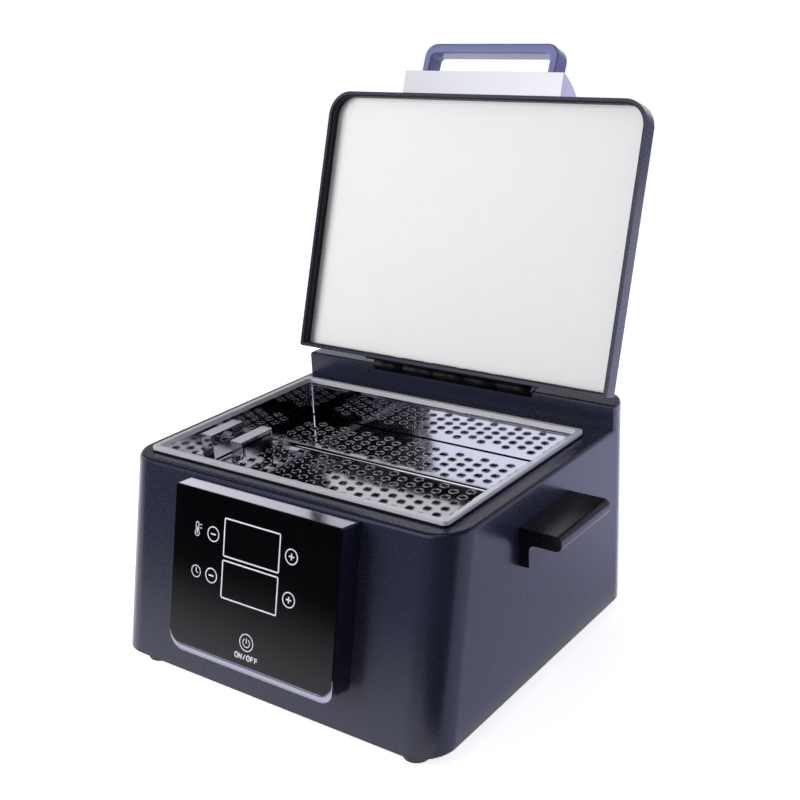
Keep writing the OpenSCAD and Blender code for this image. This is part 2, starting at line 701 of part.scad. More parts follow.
bracket_bolts = [for (x = [-40, 0, 40]) [x, lid_front + 13]];
liner_z = lid_z + liner_drop;
liner_t = 0.8;

module lid_liner() color("#f4f4f6") opened()
  lid_level(lid_wall + 0.7, liner_z, liner_t);

module lid_insulation() color("#e9e4d6") opened() difference() {
  lid_level(lid_wall + 0.7, liner_z + liner_t, lid_t - 2.4 - liner_drop - liner_t);
  for (b = bracket_bolts) translate([b[0], b[1], liner_z]) cylinder(d = 9, h = lid_t);
}

bracket_y = lid_front - bracket_over;
bow_y = bracket_y + 48.6;
bow_z = lid_z - 11.4;

// Bracket profile across the lid's front edge, as (y, z) with z over the lid's lower edge
module bracket_profile() difference() {
  intersection() {
    translate([bracket_y, lid_z + 0.3]) square([bracket_over + 30, bracket_h - 0.3]);
    translate([bow_y, bow_z]) circle(bracket_bow, $fn = 96);
  }
  translate([lid_front - 0.1, lid_z - 1]) square([60, lid_t + 1]);
  translate([lid_front + 29, lid_z + bracket_h + 4]) circle(15);
}

bar_z = lid_z + 4.5;
bar_y = bracket_y - bar_reach;
bar_root = bracket_y + 14;
bar_leg = bar_t - 1;
bar_ir = 3;
bar_in = bar_w / 2 - bar_leg - bar_ir;

// Side-to-side band of the handle with rounded outer corners, lying flat
module bar_outline(grow) translate([0, bar_y]) difference() {
  union() {
    for (s = [-1, 1]) translate([s * (bar_w / 2 - bar_r), bar_r]) circle(bar_r + grow);
    translate([-bar_w / 2 + bar_r, -grow]) square([bar_w - 2 * bar_r, bar_r]);
    translate([-bar_w / 2 - grow, bar_r]) square([bar_w + 2 * grow, bar_root - bar_y - bar_r + grow]);
  }
  for (s = [-1, 1]) translate([s * bar_in, bar_t + bar_ir]) circle(bar_ir - grow);
  translate([-bar_in, bar_t + grow]) square([2 * bar_in, bar_ir]);
  translate([-bar_in - bar_ir + grow, bar_t + bar_ir])
    square([2 * (bar_in + bar_ir - grow), bar_root - bar_y]);
}

module bar(grow = 0)
  translate([0, bracket_y + 8, lid_z + 11]) rotate([-bar_tilt, 0, 0])
    translate([0, -bracket_y - 8, bar_z - lid_z - 11 - grow])
      linear_extrude(bar_d + 2 * grow) bar_outline(grow);

module handle_bracket() color("#e6e6f2") opened() difference() {
  translate([-bracket_w / 2, 0, 0]) rotate([90, 0, 90]) linear_extrude(bracket_w) bracket_profile();
  bar(0.05);
  for (b = bracket_bolts) translate([b[0], b[1], lid_top - 1]) cylinder(d = bolt_d, h = 9);
}

module lid_handle() color("#6f719b") opened() bar();

module handle_screws() color("#9a9ca3") opened()
  for (b = bracket_bolts) translate([b[0], b[1], lid_top - 2.4]) screw(2.4 + 8, head = 5.6);

tray_top = rim_z - tray_drop;
tray_w = tank_w - 2 * tray_gap;
tray_y0 = rim_y - tank_d / 2 + tray_gap;
tray_y1 = rim_y + tank_d / 2 - tray_gap;
tray_foot = tank_floor + fit;
bead_y = tray_y1 - bead_back;
hole_x = floor((tray_w / 2 - tray_margin - hole_d / 2) / col_pitch);
hole_y = floor((tray_y1 - tray_y0) / row_pitch);
loop_x = tray_w / 2 - 7;
loop_foot = 7;
loop_y = bead_y - bead_r - run - loop_foot - loop_l;

// A perforation is kept clear of the border, the bead and the handles' feet
function clear_hole(x, y) =
  y > tray_y0 + tray_margin + hole_d / 2 && y < tray_y1 - tray_margin - hole_d / 2
  && abs(y - bead_y) > bead_r + hole_d / 2 + 0.8
  && !(abs(x) > loop_x - loop_w - hole_d / 2 - 0.5 && y > loop_y - loop_foot - hole_d / 2 - 0.5
       && y < loop_y + loop_l + loop_foot + hole_d / 2 + 0.5);

// Perforated sheet with down-turned edges and one pressed bead
module perforated_tray() color("#c9c8d2") difference() {
  union() {
    difference() {
      plate(tray_w, tray_y0, tray_y1, 4, 4, tray_foot, tray_top - tray_foot);
      plate(tray_w - 2 * tray_t, tray_y0 + tray_t, tray_y1 - tray_t, 3, 3, tray_foot - 1,
            tray_top - tray_foot + 1 - tray_t);
    }
    translate([-tray_w / 2 + 4, bead_y, tray_top - 0.6]) rotate([0, 90, 0])
      cylinder(r = bead_r, h = tray_w - 8);
  }
  translate([-tray_w / 2 + 3, bead_y, tray_top - 0.6]) rotate([0, 90, 0])
    cylinder(r = bead_r - tray_t, h = tray_w - 6);
  translate([-tray_w / 2 + 2, bead_y - 3, tray_top - 3.6]) cube([tray_w - 4, 6, 2.6]);
  for (i = [-hole_x:hole_x], j = [-hole_y:hole_y]) {
    x = i * col_pitch;
    y = rim_y + (j + (i % 2 == 0 ? 0 : 0.5)) * row_pitch;
    if (clear_hole(x, y)) translate([x, y, tray_top - tray_t - 1]) cylinder(d = hole_d, h = tray_t + 2);
  }
}

// Bent strip that stands on the tray beside the wall
module tray_loop() translate([loop_x - loop_w, loop_y, tray_top]) {
  translate([0, 0, loop_h - loop_t]) cube([loop_w, loop_l, loop_t]);
  for (s = [0, 1]) translate([0, s * (loop_l - loop_t), 0]) cube([loop_w, loop_t, loop_h]);
  for (s = [0, 1]) translate([0, s * (loop_l + loop_foot) - loop_foot, 0]) difference() {
    cube([loop_w, loop_foot, loop_t]);
    translate([loop_w / 2, loop_foot / 2, -1]) cylinder(d = 3, h = 4);
  }
}

module tray_handle_right() color("#d6d4dc") tray_loop();

module tray_handle_left() color("#d6d4dc") mirror([1, 0, 0]) tray_loop();

module tray_rivets() color("#d6d4dc")
  for (m = [0, 1], s = [0, 1]) mirror([m, 0, 0])
    translate([loop_x - loop_w / 2, loop_y + s * (loop_l + loop_foot) - loop_foot / 2, tray_top])
      cylinder(d = 3, h = loop_t + 0.5);

placed() housing();
placed() base_plate();
placed() base_screws();
placed() rubber_feet();
placed() foot_screws();
placed() rim_seal();
placed() tank();
placed() tank_brackets();
placed() heater_plate();
placed() insulation_wrap();
placed() insulation_mat();
placed() heat_shield();
placed() thermal_cutout();
placed() temperature_probe();
placed() power_board();
placed() board_standoffs();
placed() transformer();
placed() heatsink();
placed() relay();
placed() terminal_block();
placed() power_inlet();
placed() inlet_pins();
placed() inlet_screws();
placed() control_pod();
placed() control_panel();
placed() control_board();
placed() board_screws();
placed() temperature_display();
placed() timer_display();
placed() touch_springs();
placed() pod_screws();
placed() side_grip_left();
placed() side_grip_right();
placed() grip_screws();
placed() hinge_body_leaf();
placed() hinge_pin();
placed() hinge_screws();
placed() hinge_lid_leaf();
placed() hinge_rivets();
placed() lid_shell();
placed() lid_insulation();
placed() lid_liner();
placed() handle_bracket();
placed() lid_handle();
placed() handle_screws();
placed() perforated_tray();
placed() tray_handle_left();
placed() tray_handle_right();
placed() tray_rivets();
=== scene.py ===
# %% [markdown]
# # A benchtop dry-heat oven
# The oven is a moulded plastic box with a raked front, a polished steel tank let
# into its top, a perforated tray in the tank and a lid that stands open behind it.
# The construction model already holds every hard piece in its place. This script
# keeps those pieces and adds what a construction model leaves plain: the finishes,
# the pressed rims round the tray's holes, the print on the acrylic panel with the
# bevel under it, and the seal inside the lid's skirt.

# %% Load the construction model
import math
import bpy
import numpy as np
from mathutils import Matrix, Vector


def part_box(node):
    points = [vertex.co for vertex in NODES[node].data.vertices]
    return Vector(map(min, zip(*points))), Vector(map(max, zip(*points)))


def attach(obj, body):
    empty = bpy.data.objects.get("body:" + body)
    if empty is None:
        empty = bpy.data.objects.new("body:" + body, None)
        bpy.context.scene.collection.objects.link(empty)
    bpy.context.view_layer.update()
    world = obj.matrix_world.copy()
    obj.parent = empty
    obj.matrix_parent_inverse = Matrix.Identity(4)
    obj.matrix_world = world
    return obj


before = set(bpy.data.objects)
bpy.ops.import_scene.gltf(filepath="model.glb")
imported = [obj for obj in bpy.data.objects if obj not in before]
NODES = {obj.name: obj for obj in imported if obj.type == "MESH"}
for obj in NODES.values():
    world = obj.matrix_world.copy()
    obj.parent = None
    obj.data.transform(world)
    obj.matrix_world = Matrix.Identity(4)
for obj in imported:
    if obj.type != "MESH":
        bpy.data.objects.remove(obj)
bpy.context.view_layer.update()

# %% [markdown]
# Sizes are easiest to read in millimetres, and Blender works in metres. One factor
# does the change. Places are taken from the construction model's own boxes, so the
# added pieces follow it when its sizes change.

# %% Millimetres and boxes
MM = 0.001


def box_mm(node):
    """Lowest and highest corner of a node, as two arrays in millimetres."""
    low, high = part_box(node)
    return np.array(low) / MM, np.array(high) / MM


deck_rim_low, deck_rim_high = box_mm("tank")
print("tank rim, mm:", deck_rim_low.round(1), deck_rim_high.round(1))

# %% [markdown]
# Colours are written the way a paint shop's card or a screen shows them, as sRGB
# hex. Cycles wants linear light, so one function does the conversion. A second
# function adds a shader node, sets its properties and links its inputs: every
# material below is built with it, so the recipe of each finish stays readable.

# %% Colour and node helpers
def linear(hex_colour, alpha=1.0):
    """sRGB hex to linear: c/12.92 below 0.04045, else ((c + 0.055)/1.055)^2.4."""
    c = np.array([int(hex_colour[i:i + 2], 16) for i in (1, 3, 5)]) / 255
    lin = np.where(c <= 0.04045, c / 12.92, ((c + 0.055) / 1.055) ** 2.4)
    return (*[float(v) for v in lin], alpha)


def add(tree, kind, settings=None, **sockets):
    """Adds a shader node; a socket given a node output is linked, else it is set.

    Socket names are written with _ for a space; a final number picks an unnamed one.
    """
    made = tree.nodes.new(kind)
    for key, value in (settings or {}).items():
        setattr(made, key, value)
    for key, value in sockets.items():
        numbered = key.startswith("in") and key[2:].isdigit()
        socket = made.inputs[int(key[2:]) if numbered else key.replace("_", " ")]
        if isinstance(value, bpy.types.NodeSocket):
            tree.links.new(value, socket)
        else:
            socket.default_value = value
    return made


started = []


def start(name):
    """A new material with an empty tree and its output; its name goes into started."""
    started.append(name)
    material = bpy.data.materials.new(name)
    material.use_nodes = True
    tree = material.node_tree
    tree.nodes.clear()
    return material, tree, tree.nodes.new("ShaderNodeOutputMaterial")


def per_mm(size):
    """Noise scale whose features come out about size millimetres wide."""
    return 1000 / size


print("mid grey, linear:", round(linear("#808080")[0], 3))

# %% [markdown]
# ## Moulded plastic
# The housing, the lid and the pod are injection-moulded ABS in a dark slate blue.
# The mould's steel is spark-eroded, which leaves a fine even grain. The real one is
# about 0.2 mm wide, too fine to show, so it is drawn at 0.7 mm. The paint-like depth
# of the colour comes from a faint mottling a few centimetres wide. The grain goes into
# bump and roughness, so highlights break up and edges stay crisp. Seen nearly along
# its own plane, such a polish turns into a pale mirror. A second shader, which comes
# in with the slant and never takes the whole surface, gives that sheen.

# %% Moulded ABS finish
MOTTLE_MM, GRAIN_MM = 45.0, 0.7


def moulded_abs(name, dark, light, rough, relief=0.03, sheen=None):
    """Two close tones mixed by broad noise; fine noise gives bump and roughness.

    sheen is the colour that the polish takes where it is seen along its own plane, the
    slants, from 0 face on to 1 edge on, at which it begins and is full, and how much of
    the surface it then takes.
    """
    material, tree, out = start(name)
    place = add(tree, "ShaderNodeTexCoord").outputs["Object"]
    broad = add(tree, "ShaderNodeTexNoise", Vector=place, Scale=per_mm(MOTTLE_MM), Detail=2.0)
    tone = add(tree, "ShaderNodeMix", {"data_type": "RGBA"}, Factor=broad.outputs["Fac"],
               in6=linear(dark), in7=linear(light))
    fine = add(tree, "ShaderNodeTexNoise", Vector=place, Scale=per_mm(GRAIN_MM), Detail=3.0)
    gloss = add(tree, "ShaderNodeMapRange", Value=fine.outputs["Fac"], From_Min=0.3,
                From_Max=0.7, To_Min=rough - 0.05, To_Max=rough + 0.05)
    bump = add(tree, "ShaderNodeBump", Height=fine.outputs["Fac"], Strength=0.35,
               Distance=relief * MM)
    shader = add(tree, "ShaderNodeBsdfPrincipled", Base_Color=tone.outputs["Result"],
                 Roughness=gloss.outputs["Result"], Normal=bump.outputs["Normal"],
                 IOR=1.53)
    surface = shader.outputs["BSDF"]
    if sheen:
        colour, begin, full, most = sheen
        mirror = add(tree, "ShaderNodeBsdfPrincipled", Base_Color=linear(colour),
                     Metallic=1.0, Roughness=0.12)
        slant = add(tree, "ShaderNodeLayerWeight", Blend=0.5).outputs["Facing"]
        share = add(tree, "ShaderNodeMapRange", {"interpolation_type": "SMOOTHSTEP"},
                    Value=slant, From_Min=begin, From_Max=full, To_Min=0.0, To_Max=most)
        surface = add(tree, "ShaderNodeMixShader", Fac=share.outputs["Result"], in1=surface,
                      in2=mirror.outputs["BSDF"]).outputs["Shader"]
    tree.links.new(surface, out.inputs["Surface"])
    return material


slate_abs = moulded_abs("slate_blue_moulded_ABS", "#232538", "#292b40", 0.26, relief=0.008,
                        sheen=("#b4b3cc", 0.62, 0.86, 0.35))
lid_abs = moulded_abs("slate_blue_moulded_ABS_lid", "#25273a", "#2b2d42", 0.26, relief=0.008,
                      sheen=("#b4b3cc", 0.62, 0.86, 0.5))
pod_abs = moulded_abs("slate_blue_moulded_ABS_pod", "#1c1e2c", "#222434", 0.16, relief=0.005,
                      sheen=("#e4e2f2", 0.5, 0.74, 0.9))
black_abs = moulded_abs("black_moulded_ABS", "#0c0c11", "#101016", 0.24, relief=0.015)
handle_abs = moulded_abs("blue_grey_satin_nylon", "#7276a2", "#7b7fae", 0.24, relief=0.01)
print("moulded finishes:", len(started))

# %% [markdown]
# ## Polished and brushed metal
# The tank and the tray are drawn and pressed from stainless sheet and polished. A
# polish still has a direction, seen as faint streaks, and pressing leaves shallow
# waves. Stretched noise gives the streaks, and broad noise the waves. The shader is
# fully metallic, so its colour is the colour of what it reflects. Only the tank's
# rim is blasted to a pale satin. The bracket is satin anodised aluminium, and the
# pearl lacquer of the bevel is metal flake under a clear coat, so it is made alike.

# %% Stainless finishes
WAVE_MM, SATIN_ROUGH, SATIN_METAL, SATIN_COLOUR = 25.0, 0.36, 0.4, "#f0f0f5"


def stainless(name, colour, rough, streak_mm=(0.6, 40.0, 40.0), wave=0.0, spread=0.05,
              satin_above=None):
    """Metal whose roughness follows streaks; broad waves bend the reflections.

    Above the height satin_above, in metres, the polish gives way to a bead-blasted
    satin, which is paler, rougher and less of a mirror.
    """
    material, tree, out = start(name)
    place = add(tree, "ShaderNodeTexCoord").outputs["Object"]
    stretch = add(tree, "ShaderNodeMapping", Vector=place,
                  Scale=[per_mm(s) for s in streak_mm])
    streaks = add(tree, "ShaderNodeTexNoise", Vector=stretch.outputs["Vector"], Scale=1.0,
                  Detail=4.0)
    gloss = add(tree, "ShaderNodeMapRange", Value=streaks.outputs["Fac"], From_Min=0.3,
                From_Max=0.7, To_Min=max(rough - spread, 0.02), To_Max=rough + spread)
    tint = add(tree, "ShaderNodeMix", {"data_type": "RGBA"}, Factor=streaks.outputs["Fac"],
               in6=linear(colour), in7=[min(1.12 * c, 1.0) for c in linear(colour)])
    waves = add(tree, "ShaderNodeTexNoise", Vector=place, Scale=per_mm(WAVE_MM), Detail=1.0)
    bump = add(tree, "ShaderNodeBump", Height=waves.outputs["Fac"], Strength=1.0,
               Distance=wave * MM)
    shader = add(tree, "ShaderNodeBsdfPrincipled", Base_Color=tint.outputs["Result"],
                 Metallic=1.0, Roughness=gloss.outputs["Result"],
                 Normal=bump.outputs["Normal"])
    if satin_above is not None:
        height = add(tree, "ShaderNodeSeparateXYZ", Vector=place).outputs["Z"]
        over = add(tree, "ShaderNodeMath", {"operation": "GREATER_THAN"}, in0=height,
                   in1=satin_above)
        for socket, below, above in (("Roughness", gloss.outputs["Result"], SATIN_ROUGH),
                                     ("Metallic", 1.0, SATIN_METAL)):
            blend = add(tree, "ShaderNodeMix", {"data_type": "FLOAT"},
                        in0=over.outputs["Value"], in2=below, in3=above)
            tree.links.new(blend.outputs["Result"], shader.inputs[socket])
        paler = add(tree, "ShaderNodeMix", {"data_type": "RGBA"}, in0=over.outputs["Value"],
                    in6=tint.outputs["Result"], in7=linear(SATIN_COLOUR))
        tree.links.new(paler.outputs["Result"], shader.inputs["Base Color"])
    tree.links.new(shader.outputs["BSDF"], out.inputs["Surface"])
    return material


RIM_DEPTH = 3.1
RIM_FROM = (deck_rim_high[2] - RIM_DEPTH) * MM
tank_steel = stainless("polished_drawn_stainless", "#d2d1da", 0.05, wave=0.12, spread=0.02,
                       satin_above=RIM_FROM)
tray_steel = stainless("polished_perforated_stainless", "#cbccd2", 0.08, (0.8, 30.0, 30.0),
                       wave=0.2, spread=0.03)
strip_steel = stainless("polished_stainless_strip", "#e6e5ea", 0.1, (30.0, 0.5, 30.0),
                        wave=0.1)
plain_steel = stainless("zinc_plated_steel", "#b9babf", 0.34, (2.0, 2.0, 2.0))
sheet_steel = stainless("rolled_steel_sheet", "#a6a8ad", 0.4, (1.0, 30.0, 30.0))
heatsink_metal = stainless("extruded_aluminium", "#b4b7bd", 0.42, (30.0, 30.0, 0.5))
brass_metal = stainless("turned_brass", "#c9a765", 0.3, (0.5, 0.5, 8.0))
satin_silver = stainless("satin_silver_anodised_aluminium", "#f0f0f8", 0.3, (20.0, 20.0, 20.0),
                         spread=0.03)
pearl_lacquer = stainless("pearl_lilac_metallic_lacquer", "#a2a1b2", 0.22, (20.0, 20.0, 20.0),
                          spread=0.03)
print("finishes so far:", len(started), "rim blasted above, mm:", round(RIM_FROM / MM, 1))

# %% [markdown]
# ## Coated sheet, gloss acrylic, rubber and felt
# The lid's inner sheet has a bright white stoved enamel: a dense white with a soft
# gloss and the slight orange peel of any sprayed coat. The panel is black acrylic,
# flat and nearly perfectly smooth. Rubber is matt and a little dusty. The felt that
# insulates the tank is a mat of fibres, drawn here as a coarse noise because single
# fibres would be far too fine to see.

# %% Coatings and soft finishes
def coated(name, colour, shade, rough, peel_mm, relief=0.01, ior=1.5):
    """Dielectric coat: shallow peel in the bump, a faint tone shift over the peel."""
    material, tree, out = start(name)
    place = add(tree, "ShaderNodeTexCoord").outputs["Object"]
    peel = add(tree, "ShaderNodeTexNoise", Vector=place, Scale=per_mm(peel_mm), Detail=2.0)
    tone = add(tree, "ShaderNodeMix", {"data_type": "RGBA"}, Factor=peel.outputs["Fac"],
               in6=linear(colour), in7=linear(shade))
    gloss = add(tree, "ShaderNodeMapRange", Value=peel.outputs["Fac"], From_Min=0.25,
                From_Max=0.75, To_Min=max(rough - 0.03, 0.02), To_Max=rough + 0.03)
    bump = add(tree, "ShaderNodeBump", Height=peel.outputs["Fac"], Strength=0.4,
               Distance=relief * MM)
    shader = add(tree, "ShaderNodeBsdfPrincipled", Base_Color=tone.outputs["Result"],
                 Roughness=gloss.outputs["Result"], Normal=bump.outputs["Normal"],
                 IOR=ior)
    tree.links.new(shader.outputs["BSDF"], out.inputs["Surface"])
    return material


white_enamel = coated("white_stoved_enamel", "#f5f5f4", "#f2f2f1", 0.32, 9.0, 0.002)
black_acrylic = coated("black_gloss_acrylic", "#060608", "#08080b", 0.12, 60.0, 0.002, 1.49)
display_glass = coated("dark_display_lens", "#0c0c11", "#101016", 0.12, 30.0, 0.004)
black_enamel = coated("black_enamelled_steel", "#0a0a0d", "#0e0e12", 0.4, 1.5, 0.01)
foot_rubber = coated("black_rubber", "#0e0e10", "#17171a", 0.62, 0.8, 0.05)
seal_rubber = coated("black_silicone", "#0b0b0d", "#121215", 0.5, 2.0, 0.02)
felt = coated("ceramic_fibre_felt", "#e6e0cf", "#cfc8b4", 0.95, 1.2, 0.4)
mica = coated("mica_heater_plate", "#b8a987", "#8f8266", 0.5, 9.0, 0.05)
board_lacquer = coated("green_solder_lacquer", "#1f4f31", "#2a6440", 0.35, 5.0, 0.02)
copper_lacquer = coated("lacquered_copper_winding", "#a5632c", "#7c4519", 0.3, 0.6, 0.05)
relay_blue = coated("blue_relay_case", "#1f3157", "#26406f", 0.35, 8.0, 0.01)
terminal_green = coated("green_polyamide", "#2f7a46", "#3a8a52", 0.45, 6.0, 0.01)
print_white = coated("white_screen_print", "#f4f4f6", "#e4e4e8", 0.55, 0.6, 0.003)
print("finishes in all:", len(started))

# %% [markdown]
# ## Giving each piece its finish
# A table says which finish belongs to which piece. The construction model's meshes
# are loose triangles, so a Weld modifier joins them first, and a planar Decimate makes
# one face of each flat side, so that only real edges are left. A Bevel modifier then
# rounds the hard ones as a real mould or press would, and a weighted normal keeps flat
# faces flat. None of these changes the stored mesh.

# %% Finish table
FINISHES = {
    slate_abs: ["housing"],
    lid_abs: ["lid_shell"],
    pod_abs: ["control_pod"],
    black_abs: ["side_grip_left", "side_grip_right", "power_inlet"],
    handle_abs: ["lid_handle"],
    black_acrylic: ["control_panel"],
    display_glass: ["temperature_display", "timer_display"],
    tank_steel: ["tank"],
    tray_steel: ["perforated_tray"],
    strip_steel: ["tray_handle_left", "tray_handle_right", "tray_rivets"],
    satin_silver: ["handle_bracket"],
    white_enamel: ["lid_liner"],
    black_enamel: ["base_plate", "hinge_body_leaf", "hinge_lid_leaf", "hinge_screws"],
    plain_steel: ["base_screws", "foot_screws", "inlet_screws", "pod_screws", "board_screws",
                  "grip_screws", "handle_screws", "hinge_pin", "hinge_rivets"],
    sheet_steel: ["tank_brackets", "heat_shield"],
    heatsink_metal: ["heatsink"],
    brass_metal: ["temperature_probe", "board_standoffs", "touch_springs", "inlet_pins"],
    foot_rubber: ["rubber_feet"],
    seal_rubber: ["rim_seal"],
    felt: ["insulation_wrap", "insulation_mat", "lid_insulation"],
    mica: ["heater_plate", "thermal_cutout"],
    board_lacquer: ["power_board", "control_board"],
    copper_lacquer: ["transformer"],
    relay_blue: ["relay"],
    terminal_green: ["terminal_block"],
}
EDGE_ROUND_MM = {
    "housing": 0.35, "control_pod": 0.5, "lid_shell": 0.3, "lid_handle": 1.4,
    "handle_bracket": 0.8, "side_grip_left": 0.8, "side_grip_right": 0.8, "tank": 0.25,
    "perforated_tray": 0.15, "tray_handle_left": 0.35, "tray_handle_right": 0.35,
    "control_panel": 0.2, "power_inlet": 0.5,
}
JOIN_MM, FLAT_TO, SHARP_FROM = 0.002, math.radians(0.6), math.radians(40)


def soften(piece, width_mm):
    """Weld, join flat faces, then round the sharp edges; the mesh itself stays."""
    piece.data.polygons.foreach_set("use_smooth", np.ones(len(piece.data.polygons), bool))
    weld = piece.modifiers.new("join_triangles", "WELD")
    weld.merge_threshold = JOIN_MM * MM
    flat = piece.modifiers.new("join_flat_faces", "DECIMATE")
    flat.decimate_type = "DISSOLVE"
    flat.angle_limit = FLAT_TO
    if width_mm:
        bevel = piece.modifiers.new("edge_round", "BEVEL")
        bevel.width = width_mm * MM
        bevel.segments = 2
        bevel.limit_method = "ANGLE"
        bevel.angle_limit = SHARP_FROM
        bevel.use_clamp_overlap = True
        bevel.harden_normals = False
    split = piece.modifiers.new("flat_faces", "WEIGHTED_NORMAL")
    split.keep_sharp = True


finish_of = {node: finish for finish, nodes in FINISHES.items() for node in nodes}
for name, piece in NODES.items():
    piece.data.materials.clear()
    piece.data.materials.append(finish_of[name])
    if "custom_normal" in piece.data.attributes:
        piece.data.attributes.remove(piece.data.attributes["custom_normal"])
    soften(piece, EDGE_ROUND_MM.get(name, 0.0))
print("pieces with a finish:", len(finish_of), "of", len(NODES))

# %% [markdown]
# ## Surfaces from arrays
# The added pieces are surfaces of revolution and bands along a path. Both are grids:
# rows along one parameter and columns along another. One function turns such a grid
# into a mesh, closing it where it wraps round.

# %% Grid mesh
def grid_faces(rows, cols, wrap_rows, wrap_cols):
    """Quads of a rows x cols grid; index(r, c) = r * cols + c, wrapping where asked."""
    r = np.arange(rows if wrap_rows else rows - 1)[:, None]
    c = np.arange(cols if wrap_cols else cols - 1)[None, :]
    r1, c1 = (r + 1) % rows, (c + 1) % cols
    quads = np.stack([r * cols + c, r * cols + c1, r1 * cols + c1, r1 * cols + c], axis=-1)
    return quads.reshape(-1, 4)


def make_piece(name, points_mm, faces, finish, body):
    """Mesh from points in millimetres in the shared frame, riding on one body."""
    mesh = bpy.data.meshes.new(name)
    mesh.from_pydata((np.asarray(points_mm) * MM).tolist(), [], np.asarray(faces).tolist())
    mesh.polygons.foreach_set("use_smooth", np.ones(len(mesh.polygons), bool))
    mesh.validate()
    mesh.materials.append(finish)
    piece = bpy.data.objects.new(name, mesh)
    bpy.context.scene.collection.objects.link(piece)
    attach(piece, body)
    return piece


def repeat(points, faces, offsets):
    """The same points and faces at each offset, as one pair of arrays."""
    points, faces, offsets = np.asarray(points), np.asarray(faces), np.asarray(offsets)
    many = (points[None, :, :] + offsets[:, None, :]).reshape(-1, 3)
    shift = (np.arange(len(offsets)) * len(points))[:, None, None]
    return many, (faces[None, :, :] + shift).reshape(-1, faces.shape[1])


# %% [markdown]
# ## Pressed rims round the tray's holes
# The tray is punched from above and then pressed from below, so each hole stands in
# a small raised collar. The collar is what catches the light as a bright ring. It is
# a surface of revolution: a half-round profile carried round the hole's axis, with
# its radius growing as (1 - cos t) / 2 and its height as sin t, for t from 0 to pi.
# The places are worked out from the same grid that the tray is punched to.

# %% Tray grid and collars
HOLE_D, COLUMN_PITCH, ROW_PITCH, TRAY_TOP = 5.0, 9.4, 9.2, 106.6
COLLAR_REACH, COLLAR_RISE, SUNK, EDGE_GAP = 0.65, 0.4, 0.03, 0.02
ROUND, ACROSS = 20, 5
COLUMNS, ROWS = 12, 10
ON_TOP, ON_CIRCLE, ENOUGH = 0.02, 0.03, 10


def hole_places(body_mesh):
    """Centres of the holes, from the tray's own upper-face edges.

    Points of the mesh on the upper face lie on circles of the hole's radius round
    the grid's nodes, so a node is a hole where more than ENOUGH of them surround it.
    Every second column is set half a row further back.
    """
    co = np.empty(len(body_mesh.vertices) * 3, np.float32)
    body_mesh.vertices.foreach_get("co", co)
    co = co.reshape(-1, 3) / MM
    top = co[np.abs(co[:, 2] - TRAY_TOP) < ON_TOP][:, :2]
    mid_y = (deck_rim_low[1] + deck_rim_high[1]) / 2
    found = []
    for i in range(-COLUMNS, COLUMNS + 1):
        for j in range(-ROWS, ROWS + 1):
            centre = np.array([i * COLUMN_PITCH, mid_y + (j + (i % 2) / 2) * ROW_PITCH])
            away = np.hypot(*(top - centre).T)
            if np.count_nonzero(np.abs(away - HOLE_D / 2) < ON_CIRCLE) > ENOUGH:
                found.append([*centre, TRAY_TOP])
    return np.array(found)


holes = hole_places(NODES["perforated_tray"].data)
around = np.linspace(0, 2 * np.pi, ROUND, endpoint=False)
rise = np.linspace(0, np.pi, ACROSS)
radius = HOLE_D / 2 + EDGE_GAP + COLLAR_REACH * (1 - np.cos(rise)) / 2
height = COLLAR_RISE * np.sin(rise) - SUNK
ring = np.stack([np.outer(radius, np.cos(around)), np.outer(radius, np.sin(around)),
                 np.outer(height, np.ones(ROUND))], axis=-1).reshape(-1, 3)
collar_points, collar_faces = repeat(ring, grid_faces(ACROSS, ROUND, False, True), holes)
make_piece("tray_hole_collars", collar_points, collar_faces[:, ::-1], tray_steel, "tray")
print("holes with a collar:", len(holes))

# %% [markdown]
# ## Print on the panel
# The panel's print is white ink laid on the acrylic: two frames round the displays,
# five round keys and two small pictures, a thermometer for the upper row and a clock
# for the lower one. Ink has a thickness of a few hundredths of a millimetre, so each
# mark is a thin raised band. All marks are drawn in the panel's own plane, with u
# across it and v up it, and then placed on the sloping front.

# %% Panel plane
DECK_Z, FRONT_Y, RAKE = 130.0, -108.5, math.atan2(25.5, 120.0)
INK_T, PANEL_FACE = 0.06, 15.0


def on_panel(u, v, lift):
    """u across, v up the slope, lift out of it, from the deck's front edge.

    y is front + v sin(rake) - lift cos(rake), z is deck + v cos(rake) + lift sin(rake).
    """
    y = FRONT_Y + v * math.sin(RAKE) - lift * math.cos(RAKE)
    z = DECK_Z + v * math.cos(RAKE) + lift * math.sin(RAKE)
    return np.stack([u, y, z], axis=-1)


def band(path, width, closed):
    """Flat inked line: the path offset half a width each way along its normal, and
    joined to the panel by its sides. Columns: outer foot, outer top, inner top, foot.
    """
    path = np.asarray(path, float)
    if closed:
        step = np.roll(path, -1, 0) - np.roll(path, 1, 0)
    else:
        step = np.gradient(path, axis=0)
    step /= np.linalg.norm(step, axis=1)[:, None]
    normal = np.stack([-step[:, 1], step[:, 0]], axis=-1)
    mitre = 1.0
    if closed:
        before = path - np.roll(path, 1, 0)
        before /= np.linalg.norm(before, axis=1)[:, None]
        side = np.stack([-before[:, 1], before[:, 0]], axis=-1)
        mitre = 1 / np.clip((side * normal).sum(1), 0.5, 1)[:, None]
    out, inn = path + normal * width / 2 * mitre, path - normal * width / 2 * mitre
    rows = [on_panel(*edge.T, np.full(len(path), lift)) for edge, lift in
            ((out, PANEL_FACE - INK_T), (out, PANEL_FACE + INK_T),
             (inn, PANEL_FACE + INK_T), (inn, PANEL_FACE - INK_T))]
    points = np.stack(rows, axis=1).reshape(-1, 3)
    faces = grid_faces(len(path), 4, closed, True)
    return points, faces


